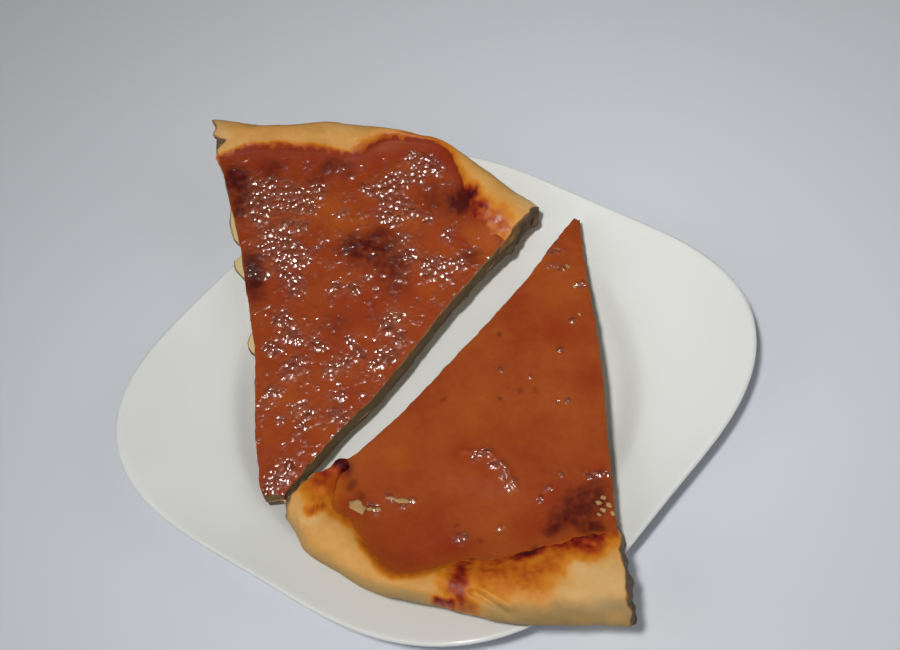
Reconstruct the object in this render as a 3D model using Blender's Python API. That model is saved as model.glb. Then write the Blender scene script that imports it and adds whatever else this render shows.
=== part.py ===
# Two cut slices of a thin pumpkin pie lying across a small white porcelain plate.
# Each slice is two solids: the pastry shell and the set custard that runs through it.
# Lengths below are in millimetres and angles in degrees; meshes are scaled to metres at the end.

import math

import bmesh
import bpy
import numpy as np
from mathutils import Matrix, Vector, noise
from mathutils.bvhtree import BVHTree

METRES_PER_MM = 0.001
GAP = 0.3

# Plate: a round well under a rounded-square rim whose corners point along X and Y
PLATE_STEPS = 64
PLATE_TURN = -1.6
SHOULDER_R = 75.0
RIM_R = 98.0
RIM_SQUARENESS = 0.067
RIM_STRETCH_X = 1.0835
RIM_STRETCH_Y = 0.923
CORNER_LIFT = 2.6
PLATE_SECTION = [
    (0, 6.0), (30, 6.0), (54, 6.2), (60, 6.8), (65, 8.6), (69, 11.3), (72, 13.3),
    (75, 14.4), (82, 15.6), (90, 17.2), (96.2, 18.8), (97.6, 18.7), (98, 17.6), (97.2, 16.5),
    (90, 13.9), (80, 11.7), (74, 10.4), (70, 8.2), (66, 5.4), (61, 3.0), (57, 1.6),
    (55.5, 0), (51.5, 0), (50, 1.6), (20, 1.8), (0, 1.8),
]

# Slices: grid cells of each solid, and the shape of the pastry's section
ACROSS_CELLS = 14
FLOOR_CELLS = 24
WALL_CELLS = 5
CREST_CELLS = 6
OUTSIDE_CELLS = 6
SHELL_LAYERS = 2
CUSTARD_LAYERS = 3
PASTRY_FLOOR = 2.4
FLOOR_END = 6.5
WALL_IN = [6.5, 4.3, 2.7, 1.5, 0.6, 0.0]
WALL_RISE = [0.0, 0.09, 0.28, 0.56, 0.82, 1.0]
CREST_PEAK = 0.62
CREST_ROLL = 1.1
FOOT_BEVEL = 1.0
MIN_WALL = 3.0
CRAG_SIZE = 9.0
CRAG_HEIGHT = 0.6
RAGGED_END = 1.3
CUSTARD_TOP = 8.3
CUSTARD_TIP_DROP = 1.5
CUSTARD_TIP_REACH = 22.0
CUSTARD_EDGE_DROP = 0.5
CUSTARD_WAVE = 0.35
CUSTARD_WAVE_SIZE = 28.0
SAG = 2.0
SAG_REACH = 80.0
DROP_HEIGHT = 60.0
STATIONS = np.linspace(-1.0, 1.0, 13)

SLICE_A = {
    "apex": (-60.2, -37.4),
    "heading": 65.5,
    "half_angle": 25.4,
    "tip_r": 4.5,
    "tilt": 3.0,
    "seed": 3.0,
    "crest_r": [143.9, 144.1, 145.7, 148.2, 151.9, 152.0, 151.9, 152.4, 153.4, 153.2, 153.3, 157.1, 163.6],
    "lip_r": [123.1, 123.6, 128.7, 139.4, 147.7, 147.8, 145.8, 137.2, 138.3, 139.7, 141.6, 142.8, 142.1],
    "foot_in": [2.5, 2.5, 2.5, 2.5, 3.0, 3.0, 3.0, 3.0, 3.0, 3.0, 3.0, 4.0, 6.0],
    "crest_z": [11.2, 12.4, 13.0, 12.4, 11.6, 11.8, 13.2, 14.4, 14.6, 14.2, 13.8, 13.8, 12.6],
    "lip_z": [9.2, 9.6, 9.8, 9.8, 10.0, 10.0, 10.2, 10.2, 10.2, 10.0, 10.0, 9.8, 9.2],
    "low_edge": [(4, -1.0), (18, -0.9), (34, -0.8), (48, 0.5), (64, 0.5), (94, -1.0), (122, 0.2), (145, 1.4)],
    "high_edge": [(4, 4.0), (9, 4.8), (26, 3.8), (60, -0.6), (80, -0.9), (101, -1.2), (124, 0.3), (144, 1.7),
                  (164, 0.6)],
    "ear": [],
    "ear_round": 0.0,
    "chips": [(117.1, 8.0, 4.0), (99.0, 4.6, 6.0), (69.0, 5.0, 5.4)],
    "swells": [(100.0, -0.26, 11.0, 0.5), (56.0, 0.3, 18.0, 0.4), (132.0, 0.5, 12.0, 0.4)],
}
SLICE_B = {
    "apex": (64.7, 50.2),
    "heading": 241.1,
    "half_angle": 21.2,
    "tip_r": 1.8,
    "tilt": 3.0,
    "seed": 17.0,
    "crest_r": [154.0, 158.6, 159.0, 159.2, 158.6, 156.9, 155.8, 155.6, 155.9, 155.4, 155.0, 154.6, 155.4],
    "lip_r": [127.0, 140.5, 143.0, 148.4, 151.0, 147.2, 140.6, 137.9, 134.4, 130.8, 127.8, 125.7, 125.2],
    "foot_in": [2.0, 1.1, 1.1, 1.1, 1.1, 1.1, 1.1, 1.1, 1.1, 1.1, 1.1, 1.1, 1.1],
    "crest_z": [12.2, 13.6, 13.2, 12.6, 12.4, 12.6, 13.4, 13.8, 13.6, 13.2, 12.8, 12.6, 11.8],
    "lip_z": [9.6, 10.0, 10.2, 10.3, 10.5, 10.4, 10.0, 9.8, 9.6, 9.6, 9.6, 9.4, 9.2],
    "low_edge": [(4, 1.4), (11, 0.9), (19, 0.2), (32, -1.3), (60, -1.2), (92, -0.7), (107, -0.2), (118, 1.0),
                 (125, 1.4)],
    "high_edge": [(4, -0.5), (29, -0.1), (46, 0.9), (62, 1.3), (93, 0.3), (125, -0.4), (152, 0.2)],
    "ear": [(126, 0.0), (130, 3.7), (135, 5.4), (141, 6.8), (146, 7.3), (150, 6.8), (154, 5.0), (157, 1.6)],
    "ear_round": 2.2,
    "chips": [],
    "swells": [(101.9, 0.02, 10.0, 1.4), (119.0, 0.25, 9.0, -0.5), (60.0, -0.2, 16.0, 0.3)],
}


def add_object(name, bm, material, smooth_angle):
    bmesh.ops.recalc_face_normals(bm, faces=bm.faces)
    mesh = bpy.data.meshes.new(name)
    bm.to_mesh(mesh)
    bm.free()
    for polygon in mesh.polygons:
        polygon.use_smooth = True
    mesh.set_sharp_from_angle(angle=math.radians(smooth_angle))
    mesh.materials.append(material)
    made = bpy.data.objects.new(name, mesh)
    parts.objects.link(made)
    return made


def make_material(name, colour, roughness, coat):
    material = bpy.data.materials.new(name)
    material.use_nodes = True
    surface = material.node_tree.nodes["Principled BSDF"]
    surface.inputs["Base Color"].default_value = (*colour, 1.0)
    surface.inputs["Roughness"].default_value = roughness
    surface.inputs["Coat Weight"].default_value = coat
    return material


# Plate
def rim_point(angle):
    reach = RIM_R * (1 + RIM_SQUARENESS * math.cos(4 * angle))
    return Vector((RIM_STRETCH_X * reach * math.cos(angle), RIM_STRETCH_Y * reach * math.sin(angle)))


def make_plate():
    bm = bmesh.new()
    line = [bm.verts.new((r, 0, z)) for r, z in PLATE_SECTION]
    edges = [bm.edges.new(pair) for pair in zip(line, line[1:])]
    bmesh.ops.spin(bm, geom=line + edges, axis=(0, 0, 1), cent=(0, 0, 0), angle=math.tau,
                   steps=PLATE_STEPS, use_merge=True)
    bmesh.ops.remove_doubles(bm, verts=bm.verts, dist=0.01)
    for vert in bm.verts:
        radius = vert.co.xy.length
        if radius <= SHOULDER_R:
            continue
        # from the shoulder outwards the round plate is drawn out to the rounded square
        angle = math.atan2(vert.co.y, vert.co.x)
        share = (radius - SHOULDER_R) / (RIM_R - SHOULDER_R)
        shoulder = vert.co.xy * (SHOULDER_R / radius)
        drawn = shoulder.lerp(rim_point(angle), share)
        corner = (0.5 + 0.5 * math.cos(4 * angle)) ** 2
        vert.co = (drawn.x, drawn.y, vert.co.z + CORNER_LIFT * corner * share ** 1.5)
    bmesh.ops.rotate(bm, verts=bm.verts, cent=(0, 0, 0), matrix=Matrix.Rotation(math.radians(PLATE_TURN), 3, "Z"))
    return bm


# Slices
def make_block(across, along, layers):
    # a unit block of cells: x goes across the slice, y outwards from the tip, z upwards
    bm = bmesh.new()
    bmesh.ops.create_grid(bm, x_segments=across, y_segments=along, size=0.5)
    bmesh.ops.translate(bm, verts=bm.verts, vec=(0.5, 0.5, 0))
    top = list(bm.faces)
    for layer in range(layers):
        grown = bmesh.ops.extrude_face_region(bm, geom=top)["geom"]
        if layer > 0:
            bmesh.ops.delete(bm, geom=top, context="FACES")
        top = [item for item in grown if isinstance(item, bmesh.types.BMFace)]
        raised = [item for item in grown if isinstance(item, bmesh.types.BMVert)]
        bmesh.ops.translate(bm, verts=raised, vec=(0, 0, 1 / layers))
    return bm


def station(spec, key, v):
    return float(np.interp(v, STATIONS, spec[key]))


def rim_sizes(spec, v):
    crest = station(spec, "crest_r", v)
    lip = min(station(spec, "lip_r", v), crest - MIN_WALL)
    return lip, crest, crest - station(spec, "foot_in", v), station(spec, "lip_z", v), station(spec, "crest_z", v)


def shell_top(spec, v, index):
    # the pastry's upper side: floor, inner wall, crest and outside, in that order
    lip, crest, foot, lip_z, crest_z = rim_sizes(spec, v)
    floor_end = lip - FLOOR_END
    if index <= FLOOR_CELLS:
        return spec["tip_r"] + (floor_end - spec["tip_r"]) * index / FLOOR_CELLS, PASTRY_FLOOR
    index -= FLOOR_CELLS
    if index <= WALL_CELLS:
        return lip - WALL_IN[index], PASTRY_FLOOR + (lip_z - PASTRY_FLOOR) * WALL_RISE[index]
    index -= WALL_CELLS
    if index <= CREST_CELLS:
        share = index / CREST_CELLS
        swell = math.sin(min(share / CREST_PEAK, 1.0) * math.pi / 2)
        roll = max(0.0, (share - CREST_PEAK) / (1 - CREST_PEAK)) ** 2
        return lip + (crest - 0.6 - lip) * share, lip_z + (crest_z - lip_z) * swell - CREST_ROLL * roll
    share = (index - CREST_CELLS) / OUTSIDE_CELLS
    top_z = crest_z - CREST_ROLL
    bulge = 0.6 * math.sin(share * math.pi) + 0.6 * min(1.0, share * 3)
    return crest - 0.6 + bulge + (foot - crest) * share, top_z + (FOOT_BEVEL - top_z) * share


def shell_bottom(spec, v, index):
    lip, _, foot, _, _ = rim_sizes(spec, v)
    floor_end = lip - FLOOR_END
    if index <= FLOOR_CELLS:
        return spec["tip_r"] + (floor_end - spec["tip_r"]) * index / FLOOR_CELLS, 0.0
    rest = WALL_CELLS + CREST_CELLS + OUTSIDE_CELLS
    return floor_end + (foot - FOOT_BEVEL - floor_end) * (index - FLOOR_CELLS) / rest, 0.0


def place(spec, r, v, z, inset, reach):
    # from the slice's own angle and radius to the table, with the cut edges as they wander
    heading = math.radians(spec["heading"])
    half = math.radians(spec["half_angle"])
    angle = heading + v * half
    x = spec["apex"][0] + r * math.cos(angle)
    y = spec["apex"][1] + r * math.sin(angle)
    side = math.copysign(1.0, v)
    edge = spec["high_edge"] if v > 0 else spec["low_edge"]
    wander = float(np.interp(r, [row[0] for row in edge], [row[1] for row in edge])) - inset + reach
    edge_angle = heading + side * half
    weight = abs(v) ** 3
    x += -side * math.sin(edge_angle) * wander * weight
    y += side * math.cos(edge_angle) * wander * weight
    along = (x - spec["apex"][0]) * math.cos(heading) + (y - spec["apex"][1]) * math.sin(heading)
    z += along * math.tan(math.radians(spec["tilt"]))
    z -= SAG * max(0.0, 1 - (math.hypot(x, y) / SAG_REACH) ** 2)
    return Vector((x, y, z))


def chip_reach(spec, v, r):
    # bits of the pastry floor broken off beyond the custard's cut
    if v < 0.5:
        return 0.0
    return sum(out * math.exp(-((r - at) / width) ** 2) for at, width, out in spec["chips"])


def ear_reach(spec, v, r, height):
    # the end of the rim that folded outwards past the cut, rounded at its top and foot
    if v > -0.5 or not spec["ear"]:
        return 0.0
    reach = float(np.interp(r, [row[0] for row in spec["ear"]], [row[1] for row in spec["ear"]]))
    return reach - spec["ear_round"] * abs(2 * height - 1) * min(1.0, reach / 3)


def make_shell(spec):
    along = FLOOR_CELLS + WALL_CELLS + CREST_CELLS + OUTSIDE_CELLS
    bm = make_block(ACROSS_CELLS, along, SHELL_LAYERS)
    for vert in bm.verts:
        v = 2 * vert.co.x - 1
        index = round(vert.co.y * along)
        height = vert.co.z
        low_r, low_z = shell_bottom(spec, v, index)
        top_r, top_z = shell_top(spec, v, index)
        r = low_r + (top_r - low_r) * height
        z = low_z + (top_z - low_z) * height
        reach = chip_reach(spec, v, r) + ear_reach(spec, v, r, height)
        if index > FLOOR_CELLS + WALL_CELLS:
            # crags and crimps of the baked rim, and its broken ends
            spot = Vector((r, v * 60, z)) / CRAG_SIZE
            from_lip = min(1.0, (r - rim_sizes(spec, v)[0]) / CRAG_SIZE)
            crag = noise.noise(spot + Vector((spec["seed"], 0, 0))) * CRAG_HEIGHT * from_lip
            r += crag
            z += crag * min(1.0, z / 4)
            reach += noise.noise(spot * 2 + Vector((0, spec["seed"], 0))) * RAGGED_END
        vert.co = place(spec, r, v, z, 0.0, reach)
    return bm


def custard_top(spec, v, share):
    lip, _, _, lip_z, _ = rim_sizes(spec, v)
    r = spec["tip_r"] + (lip - GAP - spec["tip_r"]) * share
    from_tip = min(1.0, (r - spec["tip_r"]) / CUSTARD_TIP_REACH)
    z = CUSTARD_TOP - CUSTARD_TIP_DROP * (1 - from_tip) ** 2
    to_lip = max(0.0, 1 - (lip - r) / 10.0)
    z += (lip_z + 0.2 - z) * to_lip ** 2
    wave = noise.noise(Vector((r, v * 55, spec["seed"])) / CUSTARD_WAVE_SIZE)
    z += CUSTARD_WAVE * wave * (1 - to_lip)
    for at, across, width, height in spec["swells"]:
        offset = math.hypot(r - at, (v - across) * math.radians(spec["half_angle"]) * at)
        z += height * math.exp(-(offset / width) ** 2) * (1 - to_lip)
    return r, z


def make_custard(spec):
    along = FLOOR_CELLS + WALL_CELLS
    bm = make_block(ACROSS_CELLS, along, CUSTARD_LAYERS)
    for vert in bm.verts:
        v = 2 * vert.co.x - 1
        index = round(vert.co.y * along)
        height = vert.co.z
        low_r, low_z = shell_top(spec, v, index)
        on_wall = max(0, index - FLOOR_CELLS) / WALL_CELLS
        low_r -= GAP * min(1.0, on_wall * 2)
        low_z += GAP
        top_r, top_z = custard_top(spec, v, index / along)
        top_z = max(top_z, low_z + 0.4)
        r = low_r + (top_r - low_r) * height
        z = low_z + (top_z - low_z) * height
        at_cut = abs(v) > 0.999
        if at_cut and height > 0.99:
            z -= CUSTARD_EDGE_DROP * min(1.0, (z - low_z) / 4)
        vert.co = place(spec, r, v, z, GAP + (0.5 if height > 0.99 else 0.0), 0.0)
    return bm


def seat_height(shell, plate):
    # how far a shell dropped from above comes down before it is one gap clear of the plate
    bmesh.ops.translate(shell, verts=shell.verts, vec=(0, 0, DROP_HEIGHT))
    over = BVHTree.FromBMesh(shell)
    under = BVHTree.FromBMesh(plate)
    falls = []
    for vert in shell.verts:
        hit = under.ray_cast(vert.co, Vector((0, 0, -1)))[0]
        if hit is not None:
            falls.append(vert.co.z - hit.z)
    for vert in plate.verts:
        hit = over.ray_cast(vert.co, Vector((0, 0, 1)))[0]
        if hit is not None:
            falls.append(hit.z - vert.co.z)
    return min(falls) - GAP


for old in list(bpy.data.objects):
    bpy.data.objects.remove(old, do_unlink=True)
parts = bpy.data.collections.new("parts")
bpy.context.scene.collection.children.link(parts)

porcelain = make_material("white_porcelain", (0.80, 0.80, 0.78), 0.18, 0.5)
pastry = make_material("baked_pastry", (0.52, 0.28, 0.10), 0.62, 0.0)
custard = make_material("pumpkin_custard", (0.23, 0.055, 0.014), 0.28, 0.3)

plate_bm = make_plate()
solids = []
for label, spec in (("slice_a", SLICE_A), ("slice_b", SLICE_B)):
    shell_bm = make_shell(spec)
    custard_bm = make_custard(spec)
    fall = seat_height(shell_bm, plate_bm)
    bmesh.ops.translate(shell_bm, verts=shell_bm.verts, vec=(0, 0, -fall))
    bmesh.ops.translate(custard_bm, verts=custard_bm.verts, vec=(0, 0, DROP_HEIGHT - fall))
    solids.append((label + "_crust", shell_bm, pastry))
    solids.append((label + "_filling", custard_bm, custard))
solids.insert(0, ("plate", plate_bm, porcelain))

# the frame's origin is the middle of the whole part's footprint, at the foot of the plate
corners = [vert.co for _, bm, _ in solids for vert in bm.verts]
low = Vector([min(corner[axis] for corner in corners) for axis in range(3)])
high = Vector([max(corner[axis] for corner in corners) for axis in range(3)])
origin = Vector(((low.x + high.x) / 2, (low.y + high.y) / 2, low.z))
to_metres = Matrix.Scale(METRES_PER_MM, 4) @ Matrix.Translation(-origin)
for name, bm, material in solids:
    bmesh.ops.transform(bm, verts=bm.verts, matrix=to_metres)
    add_object(name, bm, material, 40.0)
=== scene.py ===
import math

import bmesh
import bpy
import numpy as np
from mathutils import Matrix, Vector, noise


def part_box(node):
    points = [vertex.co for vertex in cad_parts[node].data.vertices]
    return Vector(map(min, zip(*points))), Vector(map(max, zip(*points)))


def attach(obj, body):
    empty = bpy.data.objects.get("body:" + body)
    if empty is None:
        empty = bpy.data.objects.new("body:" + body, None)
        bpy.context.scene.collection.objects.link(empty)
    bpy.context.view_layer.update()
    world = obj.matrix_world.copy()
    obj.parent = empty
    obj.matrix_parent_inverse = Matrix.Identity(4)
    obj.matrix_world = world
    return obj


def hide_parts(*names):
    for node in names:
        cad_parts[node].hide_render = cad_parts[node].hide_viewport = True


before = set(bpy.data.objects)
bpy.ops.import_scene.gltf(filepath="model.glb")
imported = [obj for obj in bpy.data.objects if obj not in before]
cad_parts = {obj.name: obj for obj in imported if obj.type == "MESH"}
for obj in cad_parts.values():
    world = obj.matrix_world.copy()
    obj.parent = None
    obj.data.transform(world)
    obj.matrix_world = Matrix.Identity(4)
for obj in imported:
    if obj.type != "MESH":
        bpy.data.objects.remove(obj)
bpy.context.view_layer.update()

# Two slices of a thin pumpkin pie on a small white plate.
# Shapes are worked out in millimetres about the middle of the plate and turned to metres last.
plateLow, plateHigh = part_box("plate")
middle = np.array([(plateLow[0] + plateHigh[0]) / 2, (plateLow[1] + plateHigh[1]) / 2, 0.0]) * 1000
print("frame loaded, plate in the middle at", middle.round(1))


# colours and nodes
def linear(code):
    # sRGB hex to the linear colour that the shader wants
    parts = [int(code[i:i + 2], 16) / 255 for i in (0, 2, 4)]
    return tuple(p / 12.92 if p <= 0.04045 else ((p + 0.055) / 1.055) ** 2.4 for p in parts) + (1.0,)


def newMaterial(name):
    material = bpy.data.materials.new(name)
    material.use_nodes = True
    return material


def addNode(material, kind, settings=None, links=None, stops=None):
    tree = material.node_tree
    node = tree.nodes.new(kind)
    for key, value in (settings or {}).items():
        if isinstance(key, int) or key in node.inputs:
            node.inputs[key].default_value = value
        else:
            setattr(node, key, value)
    if stops:
        ramp = node.color_ramp
        while len(ramp.elements) < len(stops):
            ramp.elements.new(0.5)
        for element, (position, code) in zip(ramp.elements, stops):
            element.position = position
            element.color = linear(code)
    for key, source in (links or {}).items():
        tree.links.new(source, node.inputs[key])
    return node


def perMetre(sizeMm):
    # a pattern's scale from the real size of one of its grains
    return 1000.0 / sizeMm


# slices: the same measures as the solids, with more of them drawn between the stations
shellSettings = {
    "across": 150, "out": 156, "layers": 12, "floor": 2.4, "floorEnd": 6.5,
    "wallIn": [6.5, 4.3, 2.7, 1.5, 0.6, 0.0],
    "wallRise": [0.0, 0.09, 0.28, 0.56, 0.82, 1.0],
    "peak": 0.5, "bulgeAt": 0.48, "footBevel": 1.0, "minWall": 3.0,
    # where floor, wall, climb and outside end on the way from the tip to the foot, and how full the outside is
    "floorTo": 0.46, "wallTo": 0.58, "crestTo": 0.71, "sideTo": 0.90, "fullness": 0.88,
    # roughness of the cuts: size of the lumps, depth, and how much deeper on the rim, in mm
    "rough": [(4.0, 0.4, 0.9), (2.0, 0.25, 0.5)], "roughFade": (0.58, 0.64), "acrossMm": 60.0, "pullIn": 0.5,
    "flareOver": (114, 128), "earEase": 3,
    # what counts as a cut face: how squarely it looks out, and how deep behind the cut it may lie in mm
    "facing": (0.35, 0.65), "cutDepth": 6,
    # relief: size and height of the lumps in mm
    "crags": (9.0, 0.55), "blisters": (3.2, 0.12), "pits": (2.2, 0.5), "pitsFrom": 0.1, "filmRipple": (2.4, 0.3),
    "flakeMm": 3.5, "flakeThick": 0.8, "flakes": (1.0, 0.35), "blisterLeast": 0.3, "foldCut": 0.6, "stainCut": 0.7,
    # stains: strength, softness, unevenness, the line along the lip, and the heights over which they fade
    "stain": 1.06, "softness": 1.7, "uneven": (1.6, 0.3), "lipWaves": [(8.0, 0.6), (2.4, 0.12)], "lipShift": 1.3,
    "stainFade": (2.5, 6.5), "lineFade": (-0.2, 1.6), "rippleFade": (0.3, 0.6), "blanchedEdge": 1.8,
    # from nothing to full: by mm past the lip, folds and stains by height, tone and side by their share
    "pullFade": (-4, 0), "rimFade": (0.0, 4.0), "foldFade": (3.0, 7.0), "glossTone": (0.15, 0.45),
    # sideShadeFade and outerShadeFade set where the painted shade on the outer wall comes in: how far it faces
    # sideways, and mm from the crest
    "glossFade": (1.0, 3.0), "sideShadeFade": (0.45, 0.9), "outerShadeFade": (-4.5, -1.5), "paleFade": (-2.0, 0.5),
}
custardSettings = {
    "across": 98, "out": 170, "layers": 7, "thinnest": 0.6,
    "top": 8.3, "tipDrop": 1.5, "tipReach": 22.0, "wave": (28.0, 0.35), "acrossMm": 55.0, "lap": 2.4,
    "lipReach": 10.0, "lipRise": 0.1, "film": 0.15, "filmFall": 0.6, "filmWaves": (4.0, 0.35),
    # size and height of the lumps in mm, on the cuts and on the skin
    "inset": 0.2, "edges": [(6.0, 0.35), (1.8, 0.3)], "earShare": 0.85, "pores": (2.4, 0.5), "poresFrom": 0.075,
    "cutWaves": (4.0, 0.15), "slowWaves": (7.5, 0.16), "wetWaves": (4.0, 0.3), "grain": (2.3, 0.12),
    "beadMm": 2.6, "beadReach": 0.8, "bead": 0.18, "beadPush": (1.7, 0.5), "clumpMm": 3.2, "dry": 0.45,
    # colour: bands along the lip in mm, mottling of the burnt places, and stray wet spots
    "bandMm": 6.0, "bandFade": (-0.95, -0.7), "bandDark": 0.26, "glowMm": 1.5, "glowFrom": 0.8,
    "mottle": [(3.6, 0.6), (1.5, 0.5)], "mottleLimits": (0.45, 1.2), "stray": 0.24, "strayMm": 2.6,
    "burntEdge": 3.0, "stainEdge": 1.7,
    # from nothing to full: skin by how level it is, relief and gloss by mm inside the lip, the rest by noise
    "skinFade": (0.5, 0.85), "awayFade": (1.0, 5.0), "wetFade": (1.0, 4.0), "clumpFade": (-0.25, 0.25),
    "strayFade": (0.0, 0.4),
}
brushSettings = {"push": [(5.5, 1.5), (1.7, 0.7)], "cling": 0.8, "farthest": 4.0}
sagSettings = {"drop": 2.0, "reach": 80.0}

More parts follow.
